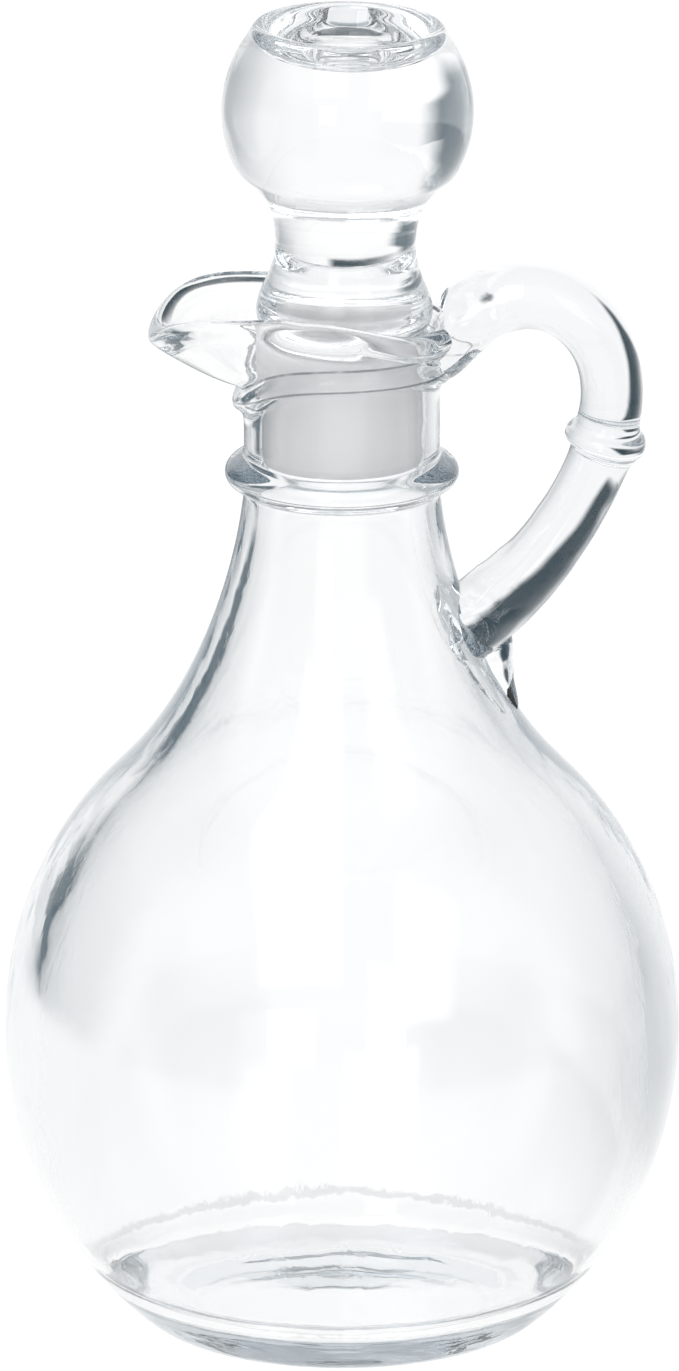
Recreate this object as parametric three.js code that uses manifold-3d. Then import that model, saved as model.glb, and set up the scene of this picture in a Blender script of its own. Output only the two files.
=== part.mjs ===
// Glass oil and vinegar cruet: a blown bottle with a pouring lip, an applied handle, and a
// solid glass stopper whose shank carries a soft sealing sleeve.
//
// Frame: millimetres, +Z up. The origin is the centre of the base, on the table plane.
// The pouring lip points along -X and the handle along +X.

import * as THREE from 'three';
import * as BufferGeometryUtils from 'three/addons/utils/BufferGeometryUtils.js';
import Module from 'manifold-3d';

const wasm = await Module();
wasm.setup();

// ---------------------------------------------------------------------------------------
// Driving dimensions

const GAP = 0.3;                    // clearance between neighbouring solids

const BODY_RADIUS = 40;             // widest point of the bulb
const BODY_HEIGHT = 35.5;           // height of that widest point
const BULB_DROP = 43.4;             // ellipse half height below the widest point
const BULB_RISE = 42;               // ellipse half height above the widest point
const SHOULDER_HEIGHT = 67;         // where the bulb turns into the hollow shoulder

const FOOT_INNER = 20;              // flat bearing ring under the base
const FOOT_OUTER = 23;
const PUSH_UP = 1.8;                // rise of the underside at the centre
const FLOOR_HEIGHT = 5;             // inside floor at the centre

const NECK_RADIUS = 11.5;
const NECK_START = 101;             // top of the shoulder curve
const BORE_RADIUS = 9.8;            // inside of the neck
const BEAD_HEIGHT = 103.7;          // ring moulded round the neck
const BEAD_REACH = 2.3;
const BEAD_HALF_HEIGHT = 1.7;

const RIM_HEIGHT = 123.4;           // crest of the rim before it is waved
const RIM_RADIUS = 12.5;
const RIM_ROUND = 1.5;              // half thickness of the rim
const RIM_HALF_HEIGHT = 1.7;
const SPOUT_REACH = 8.9;            // how far the spout is drawn out past the rim circle
const SPOUT_SPREAD = 6.2;           // how far its sides are pushed apart
const LIP_FALL = -1;                // rim height at the handle, against RIM_HEIGHT
const LIP_WAVE = 2.6;               // rise of the sides of the lip above the handle side
const SPOUT_DIP = 3.3;              // drop of the spout's tip

const COLLAR_SAG = 5.3;             // how far the wrapped collar sinks under the spout
const COLLAR_FALL = 1.8;            // and under the handle

const STRAP_HALF = 3.95;            // handle section, half its depth
const STRAP_HALF_WIDTH = 4.7;       // and half its width, along Y
const KNUCKLE_REACH = 1.3;          // ring round the handle

const BALL_RADIUS = 14.8;           // stopper knob
const BALL_HEIGHT = 147.4;
const CROWN_RADIUS = 10.4;          // rim of the recess in the top of the knob
const CROWN_HEIGHT = 157;
const CROWN_ROUND = 0.9;
const RECESS_DEPTH = 3.6;
const WAIST_RADIUS = 8.2;
const WAIST_HEIGHT = 131.5;
const FLANGE_RADIUS = 10.4;         // collar that closes the mouth
const FLANGE_HEIGHT = 124;
const SHANK_RADIUS = 7.6;
const SHANK_END = 106;

const SLEEVE_RADIUS = 9.5;
const SLEEVE_WALL = 1.6;
const SLEEVE_TOP = 120.4;
const SLEEVE_END = 104.6;

// ---------------------------------------------------------------------------------------
// Small geometry helpers

const point = (x, y) => new THREE.Vector2(x, y);
const radians = THREE.MathUtils.degToRad;
const smooth = THREE.MathUtils.smoothstep;

// A rounded hump: 1 at 0, near 0 beyond about twice its width.
const hump = (distance, width) => Math.exp(-((distance / width) ** 2));

// Points along an ellipse arc; angles in degrees from +X.
function arc(centreX, centreY, radiusX, radiusY, start, end, steps) {
  const points = [];
  for (let i = 0; i <= steps; i++) {
    const angle = radians(start + (end - start) * i / steps);
    points.push(point(centreX + radiusX * Math.cos(angle), centreY + radiusY * Math.sin(angle)));
  }
  return points;
}

// Points along a cubic curve.
function bend(a, b, c, d, steps) {
  return new THREE.CubicBezierCurve(point(...a), point(...b), point(...c), point(...d)).getPoints(steps);
}

// Evenly spaced points on the upright line from z = low to z = high.
function upright(radius, low, high, steps) {
  const points = [];
  for (let i = 0; i <= steps; i++) {
    points.push(point(radius, low + (high - low) * i / steps));
  }
  return points;
}

// Drops a point that repeats the one before it.
function outline(...runs) {
  const points = [];
  for (const next of runs.flat()) {
    const last = points[points.length - 1];
    if (!last || last.distanceTo(next) > 1e-4) points.push(next);
  }
  return points;
}

// Merges shared vertices and drops the flat triangles that a lathe leaves on its axis.
function closed(geometry) {
  geometry.deleteAttribute('normal');
  geometry.deleteAttribute('uv');
  const merged = BufferGeometryUtils.mergeVertices(geometry, 1e-4);
  const source = merged.index.array;
  const kept = [];
  for (let i = 0; i < source.length; i += 3) {
    const [a, b, c] = [source[i], source[i + 1], source[i + 2]];
    if (a !== b && b !== c && c !== a) kept.push(a, b, c);
  }
  merged.setIndex(kept);
  return merged;
}

// Turns a profile of (radius, height) round Z. move(position, row) may shift each vertex.
function turned(profile, segments, move = () => {}) {
  const lathe = new THREE.LatheGeometry(profile, segments);
  lathe.rotateX(Math.PI / 2);
  const position = lathe.attributes.position;
  const vertex = new THREE.Vector3();
  for (let i = 0; i < position.count; i++) {
    vertex.fromBufferAttribute(position, i);
    move(vertex, i % profile.length);
    position.setXYZ(i, vertex.x, vertex.y, vertex.z);
  }
  return closed(lathe);
}

function toSolid(geometry) {
  const mesh = new wasm.Mesh({
    numProp: 3,
    vertProperties: new Float32Array(geometry.attributes.position.array),
    triVerts: new Uint32Array(geometry.index.array),
  });
  return new wasm.Manifold(mesh);
}

function toGeometry(solid) {
  const mesh = solid.getMesh();
  const geometry = new THREE.BufferGeometry();
  geometry.setAttribute('position', new THREE.BufferAttribute(new Float32Array(mesh.vertProperties), 3));
  geometry.setIndex(new THREE.BufferAttribute(new Uint32Array(mesh.triVerts), 1));
  geometry.computeVertexNormals();
  return geometry;
}

// ---------------------------------------------------------------------------------------
// Bottle

const BULB_SEGMENTS = 40;

// The wrapped collar under the lip: radius and height, from the neck up.
const COLLAR = [
  [11.5, 113.2], [11.52, 115.7], [11.8, 116.4], [12.6, 116.8], [12.9, 117.4], [12.8, 118.2],
  [12.5, 118.95], [12.4, 119.35], [12.6, 119.75], [13, 120.1], [13.45, 120.6],
];

// Radius of the bulb's ellipse at a height.
function bulbRadius(height) {
  const half = height < BODY_HEIGHT ? BULB_DROP : BULB_RISE;
  return BODY_RADIUS * Math.sqrt(1 - ((height - BODY_HEIGHT) / half) ** 2);
}

// The outside of the bulb and shoulder, from the heel up to the neck.
function bodyCurve(extra = 0) {
  const heelAngle = -Math.asin(BODY_HEIGHT / BULB_DROP) * THREE.MathUtils.RAD2DEG;
  const shoulderAngle = Math.asin((SHOULDER_HEIGHT - BODY_HEIGHT) / BULB_RISE) * THREE.MathUtils.RAD2DEG;
  const shoulder = bulbRadius(SHOULDER_HEIGHT);
  const grown = BODY_RADIUS + extra;
  return outline(
    arc(0, BODY_HEIGHT, grown, BULB_DROP, heelAngle + 2, 0, 9),
    arc(0, BODY_HEIGHT, grown, BULB_RISE, 0, shoulderAngle, 8),
    bend([shoulder + extra, SHOULDER_HEIGHT], [20 + extra, 73], [12.9 + extra, 87],
      [NECK_RADIUS + extra, NECK_START], 8),
  );
}

function outerWall(extra) {
  return outline(
    bodyCurve(extra),
    arc(NECK_RADIUS + extra, BEAD_HEIGHT, BEAD_REACH, BEAD_HALF_HEIGHT, -80, 80, 8),
    upright(NECK_RADIUS + extra, BEAD_HEIGHT + 3, 111.8, 3),
    COLLAR.map(([radius, height]) => point(radius + extra, height)),
    arc(RIM_RADIUS, RIM_HEIGHT - RIM_HALF_HEIGHT, RIM_ROUND + extra, RIM_HALF_HEIGHT + extra, -20, 90, 5),
  );
}

// How thick the blown wall is at a height.
function wallAt(height) {
  if (height > BODY_HEIGHT) return 4 - 1.9 * smooth(height, 52, 98);
  return 1.9 + 2.1 * smooth(height, 6, BODY_HEIGHT);
}

// The outside of the body carried in by the wall, from the neck down to the heel.
function bodyInside() {
  const curve = bodyCurve();
  const inside = [];
  for (let i = curve.length - 2; i > 0; i--) {
    const along = curve[i + 1].clone().sub(curve[i - 1]).normalize();
    const wall = wallAt(curve[i].y);
    inside.push(point(curve[i].x - wall * along.y, curve[i].y + wall * along.x));
  }
  return inside.filter(({ y }) => y > 6.6 && y < NECK_START - 3);
}

function innerWall() {
  const body = bodyInside();
  const heel = body[body.length - 1].x;
  return outline(
    arc(RIM_RADIUS, RIM_HEIGHT - RIM_HALF_HEIGHT, RIM_ROUND, RIM_HALF_HEIGHT, 120, 180, 2),
    bend([RIM_RADIUS - RIM_ROUND, RIM_HEIGHT - 2.2], [10.8, 121], [9.9, 120.6], [BORE_RADIUS, 119], 4),
    upright(BORE_RADIUS, NECK_START + 2, 116, 4).reverse(),
    body,
    [point(heel - 0.5, 5.7), point(heel - 1.9, 5.4), point(heel - 5, 5.3), point(12, FLOOR_HEIGHT + 0.1)],
    [point(0, FLOOR_HEIGHT)],
  );
}

function underside() {
  return outline(
    [point(0, PUSH_UP)],
    bend([6, PUSH_UP - 0.1], [12, PUSH_UP - 0.3], [17, 1.2], [FOOT_INNER, 0], 4),
    [point(FOOT_OUTER, 0)],
  );
}

// Angle away from the spout, and away from the handle, in degrees.
function bearings(vertex) {
  const fromHandle = Math.abs(Math.atan2(vertex.y, vertex.x)) * THREE.MathUtils.RAD2DEG;
  return { fromHandle, fromSpout: 180 - fromHandle };
}

// How the crest of the rim is carried away from a plain circle at a bearing.
function lipShift(vertex) {
  const { fromHandle, fromSpout } = bearings(vertex);
  const side = Math.sign(vertex.y);
  const reach = fromSpout < 54 ? SPOUT_REACH * Math.cos(radians(fromSpout * 90 / 54)) ** 2 : 0;
  const spread = fromSpout < 60
    ? SPOUT_SPREAD * Math.sin(radians(3 * fromSpout)) * Math.cos(radians(1.5 * fromSpout)) : 0;
  const rise = LIP_FALL + LIP_WAVE * smooth(fromHandle, 35, 105) - SPOUT_DIP * hump(fromSpout, 16);
  return new THREE.Vector3(-reach, side * spread, rise);
}

function shapeOuter(vertex) {
  if (vertex.z < BEAD_HEIGHT + 4) return;
  const { fromHandle, fromSpout } = bearings(vertex);
  const slope = smooth(vertex.z, 107, 115) * (1 - smooth(vertex.z, 119.6, 121.2));
  const shift = lipShift(vertex).multiplyScalar(smooth(vertex.z, 119.4, 121.2));
  vertex.z -= slope * (COLLAR_SAG * hump(fromSpout, 45) + COLLAR_FALL * hump(fromHandle, 35));
  vertex.add(shift);
}

function shapeInner(vertex) {
  if (vertex.z < 118.4) return;
  vertex.add(lipShift(vertex).multiplyScalar(smooth(vertex.z, 118.4, 122)));
}

function bottle() {
  const outside = outline(underside(), outerWall(0));
  const profile = outline(outside, innerWall());
  return turned(profile, BULB_SEGMENTS, (vertex, row) => {
    if (row < outside.length) shapeOuter(vertex);
    else shapeInner(vertex);
  });
}

// What the handle is cut back to: the bottle as a filled solid, grown by the clearance, with room for the
// stopper left above the mouth.
function bottleCutter() {
  const mouth = FLANGE_RADIUS + 2 * GAP;
  const profile = outline([point(0, -1)], [point(FOOT_OUTER, -1)], outerWall(GAP + 0.05),
    [point(mouth, RIM_HEIGHT + GAP), point(mouth, FLANGE_HEIGHT + 6), point(0, FLANGE_HEIGHT + 6)]);
  return toSolid(turned(profile, BULB_SEGMENTS, shapeOuter));
}

// ---------------------------------------------------------------------------------------
// Handle

// Stations along the middle of the strap: x, z, and the section's scale.
const STRAP = [
  [11.6, 119.4, 0.98],
  [13.4, 121.4, 1.02],
  [15.8, 123.3, 1.02],
  [18.6, 124.7, 1.02],
  [22.4, 125.2, 1.00],
  [26.3, 124.0, 1.00],
  [29.4, 121.2, 1.00],
  [31.3, 117.4, 0.98],
  [31.7, 113.4, 0.96],
  [31.1, 109.1, 0.96],
  [30.2, 105.4, 0.95],
  [28.6, 101.6, 0.94],
  [26.6, 97.8, 0.96],
  [24.2, 94.2, 0.98],
  [21.2, 90.8, 1.02],
  [18.4, 87.4, 0.98],
  [17.4, 84.0, 0.84],
  [17.8, 80.2, 0.58],
  [19.0, 76.8, 0.30],
  [20.0, 74.6, 0.08],
];
const STRAP_STEPS = 48;
const STRAP_SIDES = 14;
const KNUCKLE_PLACE = 9.4;          // station of the ring, counted along STRAP

function handle() {
  const middle = new THREE.CatmullRomCurve3(STRAP.map(([x, z]) => new THREE.Vector3(x, 0, z)));
  const scales = new THREE.SplineCurve(STRAP.map(([, , scale], i) => point(i, scale)));
  const positions = [];
  for (let i = 0; i <= STRAP_STEPS; i++) {
    const t = i / STRAP_STEPS;
    const place = t * (STRAP.length - 1);
    const centre = middle.getPoint(t);
    const along = middle.getTangent(t);
    const out = new THREE.Vector3(along.z, 0, -along.x);
    const size = scales.getPoint(t).y + KNUCKLE_REACH / STRAP_HALF * hump(place - KNUCKLE_PLACE, 0.33);
    for (let j = 0; j < STRAP_SIDES; j++) {
      const angle = 2 * Math.PI * j / STRAP_SIDES;
      const depth = STRAP_HALF * size * Math.cos(angle);
      const width = STRAP_HALF_WIDTH * size * Math.sin(angle);
      positions.push(centre.x + out.x * depth, width, centre.z + out.z * depth);
    }
  }
  const index = [];
  for (let i = 0; i < STRAP_STEPS; i++) {
    for (let j = 0; j < STRAP_SIDES; j++) {
      const a = i * STRAP_SIDES + j;
      const b = i * STRAP_SIDES + (j + 1) % STRAP_SIDES;
      index.push(a, b, b + STRAP_SIDES, a, b + STRAP_SIDES, a + STRAP_SIDES);
    }
  }
  const last = STRAP_STEPS * STRAP_SIDES;
  for (let j = 1; j < STRAP_SIDES - 1; j++) {
    index.push(0, j + 1, j, last, last + j, last + j + 1);
  }
  const strap = new THREE.BufferGeometry();
  strap.setAttribute('position', new THREE.Float32BufferAttribute(positions, 3));
  strap.setIndex(index);
  return toGeometry(toSolid(strap).subtract(bottleCutter()));
}

// ---------------------------------------------------------------------------------------
// Stopper and its sleeve

const STOPPER_SEGMENTS = 32;

function stopper() {
  const ballTop = Math.asin((CROWN_HEIGHT - BALL_HEIGHT) / BALL_RADIUS) * THREE.MathUtils.RAD2DEG;
  const profile = outline(
    [point(0, SHANK_END)],
    bend([SHANK_RADIUS - 2.4, SHANK_END], [SHANK_RADIUS - 1, SHANK_END],
      [SHANK_RADIUS - 0.4, SHANK_END + 0.6], [SHANK_RADIUS - 0.3, SHANK_END + 2], 3),
    [point(SHANK_RADIUS, SLEEVE_TOP + GAP)],
    arc(FLANGE_RADIUS - 2.2, FLANGE_HEIGHT - 0.6, 2.2, 2.6, -85, 20, 6),
    bend([FLANGE_RADIUS - 0.2, FLANGE_HEIGHT + 0.8], [9.3, 127], [WAIST_RADIUS, 128.4],
      [WAIST_RADIUS, WAIST_HEIGHT], 4),
    bend([WAIST_RADIUS, WAIST_HEIGHT], [WAIST_RADIUS, 135.4], [9.4, 137.2], [11.6, 139.2], 5),
    arc(0, BALL_HEIGHT, BALL_RADIUS, BALL_RADIUS, -30, ballTop, 11),
    arc(CROWN_RADIUS, CROWN_HEIGHT, CROWN_ROUND, CROWN_ROUND, 30, 180, 4),
    bend([CROWN_RADIUS - CROWN_ROUND, CROWN_HEIGHT - 0.2], [9, 155], [9.1, CROWN_HEIGHT - RECESS_DEPTH + 0.2],
      [6.6, CROWN_HEIGHT - RECESS_DEPTH], 5),
    [point(0, CROWN_HEIGHT - RECESS_DEPTH)],
  );
  return turned(profile, STOPPER_SEGMENTS);
}

function stopperSleeve() {
  const inner = SLEEVE_RADIUS - SLEEVE_WALL;
  const profile = outline(
    [point(inner, SLEEVE_END + 0.3)],
    [point(inner + 0.4, SLEEVE_END)],
    [point(SLEEVE_RADIUS - 0.8, SLEEVE_END)],
    [point(SLEEVE_RADIUS - 0.1, SLEEVE_END + 0.8)],
    [point(SLEEVE_RADIUS, SLEEVE_TOP - 1.2)],
    [point(SLEEVE_RADIUS - 0.3, SLEEVE_TOP)],
    [point(inner, SLEEVE_TOP)],
    [point(inner, SLEEVE_END + 0.3)],
  );
  return turned(profile, STOPPER_SEGMENTS);
}

// ---------------------------------------------------------------------------------------
// Assembly

const glass = () => new THREE.MeshStandardMaterial({
  color: 0xeef2f5, roughness: 0.04, metalness: 0, transparent: true, opacity: 0.35,
});
const softPlastic = () => new THREE.MeshStandardMaterial({
  color: 0xdcdde1, roughness: 0.45, metalness: 0, transparent: true, opacity: 0.85,
});

function part(name, geometry, material) {
  const mesh = new THREE.Mesh(geometry, material);
  mesh.name = name;
  return mesh;
}

const cruet = new THREE.Group();
cruet.add(part('bottle', bottle(), glass()));
cruet.add(part('handle', handle(), glass()));

const closure = new THREE.Group();
closure.add(part('stopper', stopper(), glass()));
closure.add(part('stopper_sleeve', stopperSleeve(), softPlastic()));
cruet.add(closure);

export default cruet;
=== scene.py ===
"""A clear glass table cruet: bottle and handle as one glass, solid stopper, soft sleeve.

Everything is in metres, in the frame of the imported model: +Z up, the pouring lip along -X and the
handle along +X.
"""

import math

import bpy
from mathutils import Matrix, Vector, noise


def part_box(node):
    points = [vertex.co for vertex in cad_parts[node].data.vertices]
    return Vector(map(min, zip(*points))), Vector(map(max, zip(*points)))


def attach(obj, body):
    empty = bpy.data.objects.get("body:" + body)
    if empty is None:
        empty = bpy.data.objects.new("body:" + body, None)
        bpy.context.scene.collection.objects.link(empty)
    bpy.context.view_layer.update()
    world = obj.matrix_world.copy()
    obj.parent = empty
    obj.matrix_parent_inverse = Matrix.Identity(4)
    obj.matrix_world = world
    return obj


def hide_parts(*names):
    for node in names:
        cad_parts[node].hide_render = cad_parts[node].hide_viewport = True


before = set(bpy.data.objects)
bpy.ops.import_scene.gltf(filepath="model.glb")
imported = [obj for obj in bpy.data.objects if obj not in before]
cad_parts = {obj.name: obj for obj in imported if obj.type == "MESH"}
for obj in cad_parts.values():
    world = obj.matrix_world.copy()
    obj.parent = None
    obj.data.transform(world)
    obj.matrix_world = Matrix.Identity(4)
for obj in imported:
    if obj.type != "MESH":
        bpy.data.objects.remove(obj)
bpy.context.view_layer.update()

# --------------------------------------------------------------------------------------------------
# Sizes, worked out from the frame

MM = 0.001

_, bottle_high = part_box("bottle")
stopper_low, stopper_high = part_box("stopper")
sleeve_low, sleeve_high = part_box("stopper_sleeve")

BODY_RADIUS = bottle_high.x
BODY_HEIGHT = 35.5 * MM
BULB_DROP = 43.4 * MM
BULB_RISE = 42 * MM
SHOULDER_HEIGHT = 67 * MM

FOOT_INNER = 20 * MM
FOOT_OUTER = 23 * MM
PUSH_UP = 1.8 * MM
FLOOR_HEIGHT = 5 * MM
FLOOR_CENTRE = 5.16 * MM

NECK_RADIUS = 11.5 * MM
NECK_START = 101 * MM
BORE_RADIUS = 9.8 * MM
BEAD_HEIGHT = 103.7 * MM
BEAD_REACH = 2.3 * MM
BEAD_HALF_HEIGHT = 1.8 * MM

RIM_HEIGHT = 123.4 * MM
RIM_RADIUS = 12.5 * MM
RIM_ROUND = 1.5 * MM
RIM_HALF_HEIGHT = 1.7 * MM
SPOUT_REACH = 8.9 * MM
SPOUT_SPREAD = 6.2 * MM
LIP_FALL = -1 * MM
LIP_WAVE = 2.6 * MM
SPOUT_DIP = 3.3 * MM

# How far the spout's reach and spread go round the rim, in degrees.
SPOUT_HALF_ANGLE = 54
SPREAD_HALF_ANGLE = 60

# The collar's wraps: how far they sag under the spout and under the handle, over how many degrees.
SPOUT_SAG = 5.3 * MM
HANDLE_SAG = 1.8 * MM
SPOUT_SAG_ANGLE = 45
HANDLE_SAG_ANGLE = 35
FOLD_CUT = 0.7 * MM
FOLD_CUT_ANGLE = 50
# Heights in plain millimetres, which the glass's painted shade lines along the folds read too.
SAG_START = 107
SAG_FULL = 115
LOWER_FOLD = 116.75
UPPER_FOLD = 119.3

BALL_RADIUS = stopper_high.x
BALL_HEIGHT = 147.4 * MM
CROWN_RADIUS = 10.4 * MM
CROWN_ROUND = 1.0 * MM
CROWN_HEIGHT = stopper_high.z - CROWN_ROUND
RECESS_DEPTH = 3.6 * MM
WAIST_RADIUS = 8.2 * MM
WAIST_HEIGHT = 131.5 * MM
FLANGE_RADIUS = 10.4 * MM
FLANGE_HEIGHT = 124 * MM
SHANK_RADIUS = 7.6 * MM
SHANK_END = stopper_low.z

SLEEVE_RADIUS = sleeve_high.x
SLEEVE_WALL = 1.6 * MM

# --------------------------------------------------------------------------------------------------
# Drawing and turning profiles


def arc(centre, radius_x, radius_z, start, end, steps):
    """Points along an ellipse arc in the XZ plane, angles in degrees from +X."""
    points = []
    for i in range(steps + 1):
        angle = math.radians(start + (end - start) * i / steps)
        points.append((centre[0] + radius_x * math.cos(angle), centre[1] + radius_z * math.sin(angle)))
    return points


def bend(a, b, c, d, steps):
    """Points along a cubic curve."""
    points = []
    for i in range(steps + 1):
        t = i / steps
        weights = ((1 - t) ** 3, 3 * t * (1 - t) ** 2, 3 * t * t * (1 - t), t ** 3)
        points.append(tuple(sum(w * p[k] for w, p in zip(weights, (a, b, c, d))) for k in (0, 1)))
    return points


def run(radius, low, high, steps):
    """Points up, or down, an upright line."""
    return [(radius, low + (high - low) * i / steps) for i in range(steps + 1)]


def joined(*runs):
    """One outline from several runs, without the points that repeat."""
    points = []
    for point in (p for points_of_run in runs for p in points_of_run):
        if not points or math.dist(points[-1], point) > 0.02 * MM:
            points.append(point)
    return points


def smooth_step(value, low, high):
    """0 at low and 1 at high, smooth between, whichever of the two is greater."""
    t = min(1, max(0, (value - low) / (high - low)))
    return t * t * (3 - 2 * t)


def hump(distance, width):
    """1 at no distance, and dying away on both sides."""
    return math.exp(-((distance / width) ** 2))


def new_piece(name):
    """A small square, as a start."""
    bpy.ops.object.select_all(action="DESELECT")
    bpy.ops.mesh.primitive_plane_add(size=MM)
    piece = bpy.context.object
    piece.name = name
    piece.data.name = name
    return piece


def draw_outline(name, points, is_loop=False):
    """Pulls one vertex along the points, so that the piece is their outline in the XZ plane."""
    piece = new_piece(name)
    bpy.ops.object.mode_set(mode="EDIT")
    bpy.ops.mesh.select_all(action="SELECT")
    bpy.ops.mesh.merge(type="CENTER")
    here = Vector((0, 0, 0))
    for i, (x, z) in enumerate(points):
        there = Vector((x, 0, z))
        if i == 0:
            bpy.ops.transform.translate(value=there - here)
        else:
            bpy.ops.mesh.extrude_vertices_move(TRANSFORM_OT_translate={"value": there - here})
        here = there
    if is_loop:
        bpy.ops.mesh.select_all(action="SELECT")
        bpy.ops.mesh.edge_face_add()
        bpy.ops.mesh.delete(type="ONLY_FACE")
    bpy.ops.object.mode_set(mode="OBJECT")
    return piece


def spin_outline(piece, segments):
    """Turns an outline about the middle, a little too wide, because subdividing draws the rings in."""
    bpy.ops.object.mode_set(mode="EDIT")
    bpy.ops.mesh.select_all(action="SELECT")
    bpy.ops.mesh.spin(steps=segments, angle=math.tau, center=(0, 0, 0), axis=(0, 0, 1))
    bpy.ops.mesh.select_all(action="SELECT")
    bpy.ops.mesh.remove_doubles(threshold=0.005 * MM)
    bpy.ops.mesh.normals_make_consistent(inside=False)
    swell = 3 / (2 + math.cos(math.tau / segments))
    bpy.ops.transform.resize(value=(swell, swell, 1), center_override=(0, 0, 0))
    bpy.ops.object.mode_set(mode="OBJECT")
    return piece


def subdivide_surface(piece, levels):
    modifier = piece.modifiers.new("round", "SUBSURF")
    modifier.levels = levels
    modifier.render_levels = levels
    bpy.context.view_layer.objects.active = piece
    bpy.ops.object.modifier_apply(modifier=modifier.name)


def shade_smooth(piece, angle=50):
    bpy.ops.object.select_all(action="DESELECT")
    piece.select_set(True)
    bpy.context.view_layer.objects.active = piece
    bpy.ops.object.shade_smooth_by_angle(angle=math.radians(angle))


# --------------------------------------------------------------------------------------------------
# Bottle

BOTTLE_SEGMENTS = 48


def bulb_radius(height):
    """The bulb is the lower half of one ellipse and the upper half of another."""
    half = BULB_DROP if height < BODY_HEIGHT else BULB_RISE
    return BODY_RADIUS * math.sqrt(1 - ((height - BODY_HEIGHT) / half) ** 2)


# The wrapped collar under the lip, in millimetres: radius and height, from the neck up.
COLLAR = [
    (11.5, 113.2),
    (11.52, 115.7),
    (11.8, 116.4),
    (12.6, 116.8),
    (12.9, 117.4),
    (12.8, 118.2),
    (12.5, 118.95),
    (12.4, 119.35),
    (12.6, 119.75),
    (13.0, 120.1),
    (13.45, 120.6),
]


def body_curve():
    """The outside of the bulb and shoulder, from the heel up to the neck."""
    heel = -math.degrees(math.asin(BODY_HEIGHT / BULB_DROP))
    shoulder = math.degrees(math.asin((SHOULDER_HEIGHT - BODY_HEIGHT) / BULB_RISE))
    top = bulb_radius(SHOULDER_HEIGHT)
    return joined(
        arc((0, BODY_HEIGHT), BODY_RADIUS, BULB_DROP, heel + 5, 0, 11),
        arc((0, BODY_HEIGHT), BODY_RADIUS, BULB_RISE, 6, shoulder, 8),
        bend((top, SHOULDER_HEIGHT), (20 * MM, 73 * MM), (12.9 * MM, 87 * MM), (NECK_RADIUS, NECK_START), 9),
    )


def outer_outline():
    """The outside, from the middle of the push-up to the crest of the rim."""
    heel = -math.degrees(math.asin(BODY_HEIGHT / BULB_DROP))
    return joined(
        [(0, PUSH_UP + 0.3 * MM), (2.4 * MM, PUSH_UP + 0.22 * MM), (5 * MM, PUSH_UP - 0.2 * MM)],
        bend((9 * MM, PUSH_UP - 0.5 * MM), (13 * MM, PUSH_UP - 0.8 * MM), (16 * MM, PUSH_UP - 0.8 * MM),
             (17.4 * MM, 0.5 * MM), 4),
        [(18.6 * MM, 0.15 * MM), (FOOT_INNER - 0.4 * MM, 0.03 * MM)],
        [(FOOT_INNER + 0.8 * MM, 0), (FOOT_OUTER - 0.5 * MM, 0)],
        arc((0, BODY_HEIGHT), BODY_RADIUS, BULB_DROP, heel + 1.2, heel + 3, 1),
        body_curve(),
        [(NECK_RADIUS + 0.05 * MM, BEAD_HEIGHT - BEAD_HALF_HEIGHT - 0.25 * MM)],
        arc((NECK_RADIUS, BEAD_HEIGHT), BEAD_REACH, BEAD_HALF_HEIGHT, -70, 70, 6),
        [(NECK_RADIUS + 0.05 * MM, BEAD_HEIGHT + BEAD_HALF_HEIGHT + 0.25 * MM)],
        run(NECK_RADIUS, BEAD_HEIGHT + 3 * MM, 111.8 * MM, 3),
        [(radius * MM, height * MM) for radius, height in COLLAR],
        arc((RIM_RADIUS, RIM_HEIGHT - RIM_HALF_HEIGHT), RIM_ROUND, RIM_HALF_HEIGHT, -20, 90, 5),
    )


def wall(height):
    """How thick the blown wall is."""
    if height > BODY_HEIGHT:
        return (2.1 + 1.9 * smooth_step(height, 98 * MM, 52 * MM)) * MM
    return (4.0 - 2.1 * smooth_step(height, BODY_HEIGHT, 6 * MM)) * MM


def inner_outline():
    """The outer curve, carried in by the wall, from the bore down to a flat floor."""
    curve = body_curve()
    inside = []
    for i in range(len(curve) - 2, 0, -1):
        before, here, after = curve[i - 1], curve[i], curve[i + 1]
        slope = math.atan2(after[1] - before[1], after[0] - before[0])
        thick = wall(here[1])
        point = (here[0] - thick * math.sin(slope), here[1] + thick * math.cos(slope))
        if 6.6 * MM < point[1] < NECK_START - 3 * MM:
            inside.append(point)
    x, z = inside[-1]
    return joined(
        arc((RIM_RADIUS, RIM_HEIGHT - RIM_HALF_HEIGHT), RIM_ROUND, RIM_HALF_HEIGHT, 115, 175, 3),
        bend((RIM_RADIUS - RIM_ROUND, RIM_HEIGHT - 2.3 * MM), (10.8 * MM, 120.8 * MM),
             (9.9 * MM, 120.6 * MM), (BORE_RADIUS, 119 * MM), 3),
        run(BORE_RADIUS, 116 * MM, NECK_START + 2 * MM, 4),
        inside,
        [(x - 0.25 * MM, 5.9 * MM), (x - 0.6 * MM, 5.3 * MM), (x - 1.1 * MM, 5.1 * MM)],
        [(x - 1.6 * MM, 5.4 * MM), (x - 2.3 * MM, 5.5 * MM), (x - 5 * MM, 5.35 * MM)],
        [(17 * MM, 5.3 * MM), (12 * MM, 5.1 * MM), (7 * MM, FLOOR_HEIGHT), (3 * MM, FLOOR_HEIGHT + 0.1 * MM),
         (0, FLOOR_CENTRE)],
    )


def bearings(place):
    """Angles round the neck away from the handle and away from the spout, in degrees."""
    from_handle = math.degrees(abs(math.atan2(place.y, place.x)))
    return from_handle, 180 - from_handle


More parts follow.
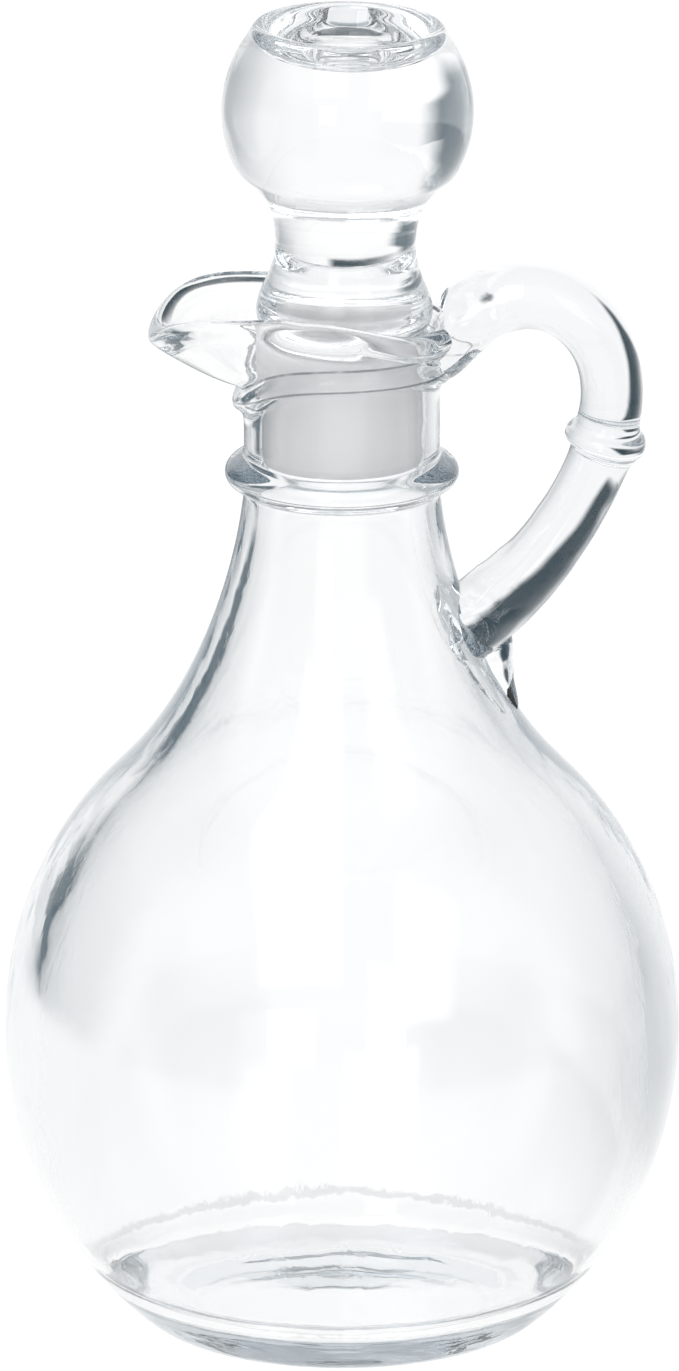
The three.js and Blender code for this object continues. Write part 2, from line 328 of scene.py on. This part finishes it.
def lip_shift(place):
    """How the crest of the rim is carried away from a plain circle at a bearing."""
    from_handle, from_spout = bearings(place)
    reach = spread = 0
    if from_spout < SPOUT_HALF_ANGLE:
        reach = SPOUT_REACH * math.cos(math.radians(90 * from_spout / SPOUT_HALF_ANGLE)) ** 2
    if from_spout < SPREAD_HALF_ANGLE:
        turn = math.radians(90 * from_spout / SPREAD_HALF_ANGLE)
        spread = SPOUT_SPREAD * math.sin(2 * turn) * math.cos(turn)
    rise = LIP_FALL + LIP_WAVE * smooth_step(from_handle, 35, 105) - SPOUT_DIP * hump(from_spout, 16)
    return Vector((-reach, math.copysign(spread, place.y), rise))


def collar_sag(place):
    """The wraps slope down under the spout, and a little under the handle."""
    from_handle, from_spout = bearings(place)
    under_spout = SPOUT_SAG * hump(from_spout, SPOUT_SAG_ANGLE)
    return -under_spout - HANDLE_SAG * hump(from_handle, HANDLE_SAG_ANGLE)


def shape_mouth(place):
    """Slopes the collar, cuts it in under the spout, then draws the lip out."""
    if place.z < BEAD_HEIGHT + 4 * MM:
        return place
    turned = Vector((place.x, place.y, 0))
    under_spout = hump(bearings(place)[1], FOLD_CUT_ANGLE)
    turned.length -= FOLD_CUT * under_spout * hump(place.z - UPPER_FOLD * MM, 0.5 * MM)
    sag = collar_sag(place) * smooth_step(place.z, SAG_START * MM, SAG_FULL * MM)
    sag *= 1 - smooth_step(place.z, 119.6 * MM, 121.2 * MM)
    lip = lip_shift(place) * smooth_step(place.z, 119.4 * MM, 121.2 * MM)
    return Vector((turned.x + lip.x, turned.y + lip.y, place.z + sag + lip.z))


def blow_bottle():
    """The bottle without its handle."""
    piece = draw_outline("bottle_glass", joined(outer_outline(), inner_outline()))
    spin_outline(piece, BOTTLE_SEGMENTS)
    for vertex in piece.data.vertices:
        vertex.co = shape_mouth(vertex.co.copy())
    subdivide_surface(piece, 2)
    return piece


# Stations along the middle of the strap, in millimetres: x, z, and the section's scale.
STRAP = [
    (9.4, 116.0, 0.98),
    (12.4, 120.4, 1.08),
    (15.2, 123.1, 1.08),
    (18.6, 124.7, 1.02),
    (22.4, 125.2, 1.00),
    (26.3, 124.0, 1.00),
    (29.4, 121.2, 1.00),
    (31.3, 117.4, 0.98),
    (31.7, 113.4, 0.96),
    (31.4, 110.6, 0.96),
    (31.1, 109.1, 0.97),
    (31.0, 108.6, 1.20),
    (30.85, 107.6, 1.27),
    (30.7, 106.8, 1.22),
    (30.5, 106.2, 0.96),
    (29.4, 103.2, 0.93),
    (27.3, 99.0, 0.95),
    (24.6, 94.8, 0.98),
    (21.6, 91.0, 1.04),
    (18.0, 87.6, 1.12),
    (14.2, 84.6, 1.18),
    (10.0, 82.0, 1.2),
]
# The tail of the pad, pressed down along the shoulder.
TAIL = [
    (15.4, 89.5, 0.8),
    (17.4, 85.5, 0.74),
    (18.0, 82.2, 0.56),
    (18.6, 79.2, 0.40),
    (19.5, 76.6, 0.26),
    (20.6, 74.2, 0.10),
]
STRAP_SIDES = 16
STRAP_HALF_DEPTH = 3.95 * MM
STRAP_HALF_WIDTH = 5.4 * MM


def turn_selected(angle, centre):
    """Turns what is selected about an axis along +Y. With no window, the operator turns the other way."""
    bpy.ops.transform.rotate(value=-angle, orient_axis="Y", center_override=centre)


def pull_strap(name, stations):
    """Pulls an oval end along the stations, turning and sizing it at each one."""
    places = [Vector((x, 0, z)) * MM for x, z, _ in stations]
    sizes = [size for _, _, size in stations]
    directions = []
    for i in range(len(places)):
        along = places[min(i + 1, len(places) - 1)] - places[max(i - 1, 0)]
        directions.append(math.atan2(along.x, along.z))
    bpy.ops.object.select_all(action="DESELECT")
    bpy.ops.mesh.primitive_circle_add(vertices=STRAP_SIDES, radius=1, fill_type="NGON", location=(0, 0, 0))
    piece = bpy.context.object
    piece.name = name
    bpy.ops.object.mode_set(mode="EDIT")
    bpy.ops.mesh.select_all(action="SELECT")
    size = sizes[0]
    bpy.ops.transform.resize(value=(STRAP_HALF_DEPTH * size, STRAP_HALF_WIDTH * size, 1))
    turn_selected(directions[0], (0, 0, 0))
    bpy.ops.transform.translate(value=places[0])
    for i in range(1, len(places)):
        bpy.ops.mesh.extrude_region_move(TRANSFORM_OT_translate={"value": places[i] - places[i - 1]})
        turn_selected(directions[i] - directions[i - 1], places[i])
        grow = sizes[i] / sizes[i - 1]
        bpy.ops.transform.resize(value=(grow, grow, grow), center_override=places[i])
    bpy.ops.mesh.select_all(action="SELECT")
    bpy.ops.mesh.normals_make_consistent(inside=False)
    bpy.ops.object.mode_set(mode="OBJECT")
    subdivide_surface(piece, 2)
    for vertex in piece.data.vertices:
        near_neck = smooth_step(vertex.co.x, 22 * MM, 16 * MM)
        fold = noise.noise(Vector((vertex.co.x, vertex.co.y, vertex.co.z * 2)) * 260)
        vertex.co += vertex.normal * fold * (0.05 + 0.35 * near_neck) * MM
    return piece


def combine(piece, tool, operation):
    modifier = piece.modifiers.new(operation, "BOOLEAN")
    modifier.operation = operation
    modifier.solver = "EXACT"
    modifier.object = tool
    bpy.context.view_layer.objects.active = piece
    bpy.ops.object.modifier_apply(modifier=modifier.name)
    bpy.data.objects.remove(tool)


def keep_clear():
    """The hollow of the neck and shoulder, out to mid-wall, which the handle's ends may not reach."""
    points = joined(
        [(0, 70 * MM), (18.6 * MM, 70 * MM)],
        bend((18.0 * MM, 72 * MM), (14 * MM, 80 * MM), (11.2 * MM, 88 * MM), (10.9 * MM, 95 * MM), 6),
        [(10.7 * MM, 118 * MM), (12.0 * MM, 120.4 * MM), (12.3 * MM, 123 * MM), (12.6 * MM, 130 * MM),
         (0, 130 * MM)],
    )
    return spin_outline(draw_outline("clearance", points), 64)


def lay_on_handle(piece):
    strap = pull_strap("strap", STRAP)
    combine(strap, pull_strap("tail", TAIL), "UNION")
    combine(strap, keep_clear(), "DIFFERENCE")
    combine(piece, strap, "UNION")


bottle = blow_bottle()
lay_on_handle(bottle)
shade_smooth(bottle)

# --------------------------------------------------------------------------------------------------
# Stopper and sleeve

STOPPER_LEAN = math.radians(0.9)


def press_stopper():
    ball_top = math.degrees(math.asin((CROWN_HEIGHT - BALL_HEIGHT) / BALL_RADIUS))
    recess = CROWN_HEIGHT - RECESS_DEPTH
    points = joined(
        [(0, SHANK_END), (SHANK_RADIUS - 3 * MM, SHANK_END)],
        bend((SHANK_RADIUS - 1.6 * MM, SHANK_END), (SHANK_RADIUS - 0.8 * MM, SHANK_END),
             (SHANK_RADIUS - 0.4 * MM, SHANK_END + 0.4 * MM),
             (SHANK_RADIUS - 0.3 * MM, SHANK_END + 2 * MM), 3),
        run(SHANK_RADIUS - 0.1 * MM, SHANK_END + 6 * MM, SHANK_END + 14 * MM, 2),
        arc((FLANGE_RADIUS - 2.2 * MM, FLANGE_HEIGHT - 0.6 * MM), 2.2 * MM, 2.6 * MM, -95, 20, 6),
        bend((FLANGE_RADIUS - 0.2 * MM, FLANGE_HEIGHT + 0.8 * MM), (9.3 * MM, 127 * MM),
             (WAIST_RADIUS, 128.4 * MM), (WAIST_RADIUS, WAIST_HEIGHT), 4),
        bend((WAIST_RADIUS, WAIST_HEIGHT), (WAIST_RADIUS, 135.4 * MM), (9.4 * MM, 137.2 * MM),
             (11.6 * MM, 139.2 * MM), 5),
        arc((0, BALL_HEIGHT), BALL_RADIUS, BALL_RADIUS, -30, ball_top - 3, 9),
        arc((CROWN_RADIUS, CROWN_HEIGHT), CROWN_ROUND, CROWN_ROUND, 35, 165, 4),
        [(9.3 * MM, CROWN_HEIGHT - 0.6 * MM), (9.05 * MM, recess + 2.0 * MM), (8.8 * MM, recess + 1.1 * MM)],
        bend((8.4 * MM, recess + 0.5 * MM), (7.6 * MM, recess), (6.6 * MM, recess - 0.15 * MM),
             (4.2 * MM, recess - 0.2 * MM), 3),
        [(2 * MM, recess - 0.22 * MM), (0, recess - 0.22 * MM)],
    )
    piece = spin_outline(draw_outline("stopper_glass", points), 40)
    bpy.ops.object.mode_set(mode="EDIT")
    bpy.ops.mesh.select_all(action="SELECT")
    turn_selected(STOPPER_LEAN, (0, 0, SHANK_END))
    bpy.ops.object.mode_set(mode="OBJECT")
    subdivide_surface(piece, 2)
    shade_smooth(piece)
    return piece


def mould_sleeve():
    low, high = sleeve_low.z, sleeve_high.z
    inner = SLEEVE_RADIUS - SLEEVE_WALL
    points = joined(
        run(inner, high - 0.5 * MM, low + 0.8 * MM, 6),
        [(inner + 0.3 * MM, low + 0.1 * MM), (inner + 0.8 * MM, low)],
        [(SLEEVE_RADIUS - 0.6 * MM, low + 0.05 * MM)],
        run(SLEEVE_RADIUS - 0.1 * MM, low + 0.7 * MM, high - 1.2 * MM, 6),
        [(SLEEVE_RADIUS - 0.2 * MM, high - 0.3 * MM), (SLEEVE_RADIUS - 0.6 * MM, high)],
        [(inner + 0.4 * MM, high)],
    )
    piece = spin_outline(draw_outline("sleeve_skin", points, is_loop=True), 40)
    subdivide_surface(piece, 2)
    shade_smooth(piece)
    return piece


stopper = press_stopper()
sleeve = mould_sleeve()

# --------------------------------------------------------------------------------------------------
# Materials


class Wire:
    """A value in a shader: sums on wires add the Math nodes that work them out."""

    def __init__(self, recipe, socket):
        self.recipe, self.socket = recipe, socket

    def math(self, operation, *values):
        return self.recipe.add("ShaderNodeMath", {"operation": operation}, dict(enumerate(values)))

    def __add__(self, other):
        return self.math("ADD", self, other)

    def __sub__(self, other):
        return self.math("SUBTRACT", self, other)

    def __rsub__(self, other):
        return self.math("SUBTRACT", other, self)

    def __mul__(self, other):
        return self.math("MULTIPLY", self, other)

    def __truediv__(self, other):
        return self.math("DIVIDE", self, other)

    __radd__, __rmul__ = __add__, __mul__


class Recipe:
    """The nodes of one material or world."""

    def __init__(self, owner):
        owner.use_nodes = True
        self.tree = owner.node_tree

    def add(self, kind, settings=None, values=None, output=0):
        node = self.tree.nodes.new(kind)
        for name, setting in (settings or {}).items():
            setattr(node, name, setting)
        for socket, value in (values or {}).items():
            self.feed(node.inputs[socket], value)
        return Wire(self, node.outputs[output])

    def feed(self, socket, value):
        if isinstance(value, Wire):
            self.tree.links.new(value.socket, socket)
        else:
            socket.default_value = value

    def fade(self, value, low, high):
        """0 below low, 1 above high, smooth between, and the other way round where high is the lower."""
        if high < low:
            return 1 - self.fade(value, high, low)
        settings = {"interpolation_type": "SMOOTHSTEP"}
        return self.add("ShaderNodeMapRange", settings, {"Value": value, "From Min": low, "From Max": high})

    def mix(self, factor, first, second):
        """A colour between two others."""
        settings = {"data_type": "RGBA", "clamp_factor": True}
        return self.add("ShaderNodeMix", settings, {0: factor, 6: (*first, 1), 7: (*second, 1)}, 2)

    def empty(self):
        """Takes out the shader that a new material or world comes with."""
        for node in [node for node in self.tree.nodes if not node.type.startswith("OUTPUT")]:
            self.tree.nodes.remove(node)

    def output(self):
        return next(node for node in self.tree.nodes if node.type.startswith("OUTPUT"))

    def bearing(self, x, y):
        """The angle from +Y towards +X, in degrees."""
        return x.math("ARCTAN2", x, y) * math.degrees(1)

    def spot(self):
        """Where a point is on its piece, in millimetres."""
        place = self.add("ShaderNodeTexCoord", output="Object")
        return self.add("ShaderNodeVectorMath", {"operation": "SCALE"}, {0: place, "Scale": 1 / MM})

    def axes(self, spot):
        """The X, Y and Z of a place or direction, as three wires."""
        return [self.add("ShaderNodeSeparateXYZ", values={0: spot}, output=axis) for axis in "XYZ"]

    def reach(self, x, y):
        """How far from the middle, seen from above."""
        return x.math("SQRT", x * x + y * y)

    def noise(self, spot, scale, detail=2.0, stretch=(1, 1, 1)):
        spot = self.add("ShaderNodeVectorMath", {"operation": "MULTIPLY"}, {0: spot, 1: stretch})
        return self.add("ShaderNodeTexNoise", values={"Vector": spot, "Scale": scale, "Detail": detail})


GLASS_TINT = (0.46, 0.53, 0.58)
BOTTLE_DENSITY = 21
STOPPER_DENSITY = 5
# The colour of the painted shade lines in the bottle's base colour.
SHADE_LINE_TONE = (0.05, 0.07, 0.08)


def painted_shade_lines(recipe, spot):
    """Painted shade: grey lines under each wrap of the collar, along its folds, and, just above the floor at
    the back, a painted dark line for the shade at the floor's corner.
    """
    x, y, z = recipe.axes(spot)
    away = recipe.reach(x, y)
    from_spout = recipe.bearing(y, 0 - x) / SPOUT_SAG_ANGLE
    sag = SPOUT_SAG / MM * x.math("EXPONENT", 0 - from_spout * from_spout)
    wrap = z + sag * recipe.fade(z, SAG_START, SAG_FULL)
    lower = x.math("ABSOLUTE", wrap - LOWER_FOLD)
    upper = x.math("ABSOLUTE", wrap - UPPER_FOLD)
    # Breaks the upper painted shade line into patches.
    patchy = recipe.fade(recipe.noise(spot, 0.35, 3), 0.3, 0.55)
    fold_shade = recipe.fade(lower, 0.26, 0.1) + recipe.fade(upper, 0.2, 0.08) * patchy
    fold_shade = fold_shade * recipe.fade(away, 10.8, 11.2) * recipe.fade(away, 15.4, 14.6)
    # Painted shade: a jagged dark line round the back, just above the floor, where the floor's corner shows
    # dark.
    corner_shade = z + 1.3 * recipe.noise(spot, 0.8, 4)
    corner_shade = recipe.fade(corner_shade, 8.2, 8.5) * recipe.fade(corner_shade, 9.4, 8.9)
    corner_shade = corner_shade * recipe.fade(away, 25, 26) * recipe.fade(away, 30.2, 29.8) * recipe.fade(y, 2, 14)
    return 0.85 * fold_shade + 0.35 * corner_shade


def clear_glass(name, density, has_painted_shade=False):
    material = bpy.data.materials.new(name)
    recipe = Recipe(material)
    shader = material.node_tree.nodes["Principled BSDF"]
    shader.inputs["Base Color"].default_value = (1, 1, 1, 1)
    shader.inputs["IOR"].default_value = 1.5
    shader.inputs["Transmission Weight"].default_value = 1.0
    spot = recipe.spot()
    ripple = recipe.noise(spot, 0.16, 1.5)
    wisps = recipe.fade(recipe.noise(spot, 0.5, 4, (1, 1, 0.3)), 0.56, 0.74)
    relief = ripple + 0.12 * wisps
    recipe.feed(shader.inputs["Normal"], recipe.add("ShaderNodeBump", values={
        "Height": relief, "Strength": 0.05, "Distance": 0.001}))
    smudges = recipe.fade(recipe.noise(spot, 0.22, 5), 0.52, 0.7)
    recipe.feed(shader.inputs["Roughness"], 0.012 * smudges)
    # Painted shade: the base colour turns dark along the collar's folds and at the floor's back corner.
    if has_painted_shade:
        shade_lined = recipe.mix(painted_shade_lines(recipe, spot), (1, 1, 1), SHADE_LINE_TONE)
        recipe.feed(shader.inputs["Base Color"], shade_lined)
    absorption = recipe.add("ShaderNodeVolumeAbsorption", values={
        "Color": (*GLASS_TINT, 1), "Density": density})
    recipe.feed(material.node_tree.nodes["Material Output"].inputs["Volume"], absorption)
    return material


def soft_plastic(name):
    material = bpy.data.materials.new(name)
    recipe = Recipe(material)
    shader = material.node_tree.nodes["Principled BSDF"]
    spot = recipe.spot()
    cloudy = recipe.fade(recipe.noise(spot, 0.12, 4), 0.35, 0.75)
    milky = recipe.mix(cloudy, (0.99, 0.99, 0.995), (0.95, 0.955, 0.965))
    recipe.feed(shader.inputs["Base Color"], milky)
    grain = recipe.noise(spot, 3, 3)
    draw_lines = recipe.noise(spot, 1.2, 2, (1, 1, 0.05))
    recipe.feed(shader.inputs["Roughness"], 0.38 + 0.2 * grain)
    recipe.feed(shader.inputs["Normal"], recipe.add("ShaderNodeBump", values={
        "Height": 0.4 * grain + draw_lines, "Strength": 0.15, "Distance": 0.0002}))
    return material


def dress(piece, material):
    piece.data.materials.clear()
    piece.data.materials.append(material)


# The bottle's glass carries the painted shade lines.
dress(bottle, clear_glass("fire polished clear glass", BOTTLE_DENSITY, has_painted_shade=True))
dress(stopper, clear_glass("pressed clear glass", STOPPER_DENSITY))
dress(sleeve, soft_plastic("milky soft plastic"))

# --------------------------------------------------------------------------------------------------
# Stage, light and camera

FLOOR_RADIUS = 6.0
LIGHT_PASSES = 128
# How bright the white set is to the glass, and to the lens.
TABLE_LEVEL = 1.04
LENS_LEVEL = 1.05
SLATE = (0.01, 0.055, 0.085)
FLAG_DRAWN_ON = 0.6
CARD_PLACE = (-22 * MM, 72 * MM, 66 * MM)
CARD_WIDTH = 74 * MM
CARD_HEIGHT = 78 * MM
AIM = Vector((-0.3, 0, 77.3)) * MM
CAMERA_ELEVATION = math.radians(17)
CAMERA_DISTANCE = 2.0
LENS_LENGTH = 446


def shaded_zones(recipe, bearing, widened):
    """How dark the set is round about: a black flag behind on the left, grey ones elsewhere.

    Widened, 0 to 1, is how far the flag is drawn on towards the back.
    """
    flag = recipe.fade(bearing, -94, -82) * recipe.fade(bearing - 11 * widened, -34, -48)
    right = recipe.fade(bearing, 14, 64) * recipe.fade(bearing, 94, 82)
    turned = bearing.math("ABSOLUTE", bearing)
    sides = recipe.fade(turned, 96, 110) * recipe.fade(turned, 160, 144)
    return flag * 0.9 + right * 0.5 + sides * 0.55


def lay_floor():
    bpy.ops.object.select_all(action="DESELECT")
    place = (0, 0, -0.5 * MM)
    bpy.ops.mesh.primitive_circle_add(vertices=64, radius=FLOOR_RADIUS, fill_type="NGON", location=place)
    floor = bpy.context.object
    floor.name = "floor"
    material = bpy.data.materials.new("white table")
    recipe = Recipe(material)
    recipe.empty()
    x, y, _ = recipe.axes(recipe.spot())
    away = recipe.reach(x, y)
    bearing = recipe.bearing(x, y)
    near_right = recipe.fade(bearing, 16, 50) * recipe.fade(bearing, 110, 90) * recipe.fade(away, 60, 130)
    shade = shaded_zones(recipe, bearing, recipe.fade(away, 400, 560)) * recipe.fade(away, 200, 360)
    shade = shade + 0.3 * near_right * recipe.fade(away, 360, 200)
    light_up(recipe, "ShaderNodeEmission", 1 - shade)
    floor.data.materials.append(material)


def stand_card():
    """A dark card low behind the neck, shown only through one thickness of glass, as in the handle."""
    bpy.ops.object.select_all(action="DESELECT")
    upright = (math.pi / 2, 0, 0)
    bpy.ops.mesh.primitive_plane_add(size=1, location=CARD_PLACE, rotation=upright)
    card = bpy.context.object
    card.name = "dark card"
    card.scale = (CARD_WIDTH, CARD_HEIGHT, 1)
    bpy.ops.object.transform_apply(location=True, rotation=True, scale=True)
    material = bpy.data.materials.new("dark card")
    recipe = Recipe(material)
    recipe.empty()
    x, _, z = recipe.axes(recipe.spot())
    looked_at = recipe.add("ShaderNodeLightPath", output="Is Camera Ray")
    passed = recipe.add("ShaderNodeLightPath", output="Transmission Depth")
    shown = passed.math("LESS_THAN", passed, 2.5) * (1 - looked_at)
    shown = shown * recipe.fade(x, -64, -2) * recipe.fade(x, 14, 6)
    shown = shown * recipe.fade(z, 64, 74) * recipe.fade(z, 102, 94)
    dark = recipe.add("ShaderNodeEmission", values={"Color": (*SLATE, 1), "Strength": 0.6})
    clear = recipe.add("ShaderNodeBsdfTransparent")
    mixed = recipe.add("ShaderNodeMixShader", values={0: shown, 1: clear, 2: dark})
    recipe.feed(recipe.output().inputs["Surface"], mixed)
    card.data.materials.append(material)


def light_up(recipe, kind, tone, boxes=0):
    """White to the lens. Tone, 0 to 1, is how light it is to the glass."""
    looked_at = recipe.add("ShaderNodeLightPath", output="Is Camera Ray")
    tone = tone + looked_at * (1 - tone)
    level = TABLE_LEVEL + boxes
    level = level + looked_at * (LENS_LEVEL - level)
    colour = recipe.mix(tone, SLATE, (1, 1, 1))
    glow = recipe.add(kind, values={"Color": colour, "Strength": level})
    recipe.feed(recipe.output().inputs["Surface"], glow)


def light_world():
    """A white tent, its ceiling grey at the back, two softboxes on the left and a fill on the right."""
    world = bpy.data.worlds.new("studio")
    bpy.context.scene.world = world
    recipe = Recipe(world)
    recipe.empty()
    x, y, z = recipe.axes(recipe.add("ShaderNodeTexCoord", output="Generated"))
    height = z.math("ARCSINE", z) * math.degrees(1)
    pitch = z.math("ARCTAN2", z, 0 - y) * math.degrees(1)
    shade = shaded_zones(recipe, recipe.bearing(x, y), FLAG_DRAWN_ON) * recipe.fade(height, 34, 16)
    shade = shade + 0.5 * recipe.fade(height, 20, 38) * recipe.fade(y, -0.3, 0.2)
    tall_box = recipe.fade(x, -0.49, -0.45) * recipe.fade(x, 0.01, -0.01)
    tall_box = tall_box * recipe.fade(pitch, 26, 29) * recipe.fade(pitch, 82, 77)
    low_box = recipe.fade(x, -0.44, -0.42) * recipe.fade(x, -0.17, -0.19)
    low_box = low_box * recipe.fade(pitch, 0.5, 1) * recipe.fade(pitch, 19, 18)
    fill_box = recipe.fade(x, 0.32, 0.35) * recipe.fade(x, 0.66, 0.58)
    fill_box = fill_box * recipe.fade(pitch, 12, 18) * recipe.fade(pitch, 66, 54)
    front = recipe.fade(y, 0, -0.5) * recipe.fade(height, 8, 20)
    boxes = tall_box + low_box + 0.5 * fill_box + 0.15 * front
    light_up(recipe, "ShaderNodeBackground", 1 - shade + boxes, 2.0 * boxes)


def place_camera():
    data = bpy.data.cameras.new("camera")
    data.lens = LENS_LENGTH
    data.clip_end = 30
    camera = bpy.data.objects.new("camera", data)
    bpy.context.scene.collection.objects.link(camera)
    back = Vector((0, -math.cos(CAMERA_ELEVATION), math.sin(CAMERA_ELEVATION)))
    camera.location = AIM + back * CAMERA_DISTANCE
    camera.rotation_euler = (-back).to_track_quat("-Z", "Y").to_euler()
    bpy.context.scene.camera = camera


lay_floor()
stand_card()
light_world()
place_camera()
bpy.context.scene.view_settings.view_transform = "Standard"
bpy.context.scene.cycles.max_bounces = LIGHT_PASSES
bpy.context.scene.cycles.transmission_bounces = LIGHT_PASSES
bpy.context.scene.cycles.glossy_bounces = LIGHT_PASSES

# --------------------------------------------------------------------------------------------------
# What each piece rides on and stands for

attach(bottle, "bottle")
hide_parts("bottle", "handle")
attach(stopper, "stopper")
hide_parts("stopper")
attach(sleeve, "sleeve")
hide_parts("stopper_sleeve")
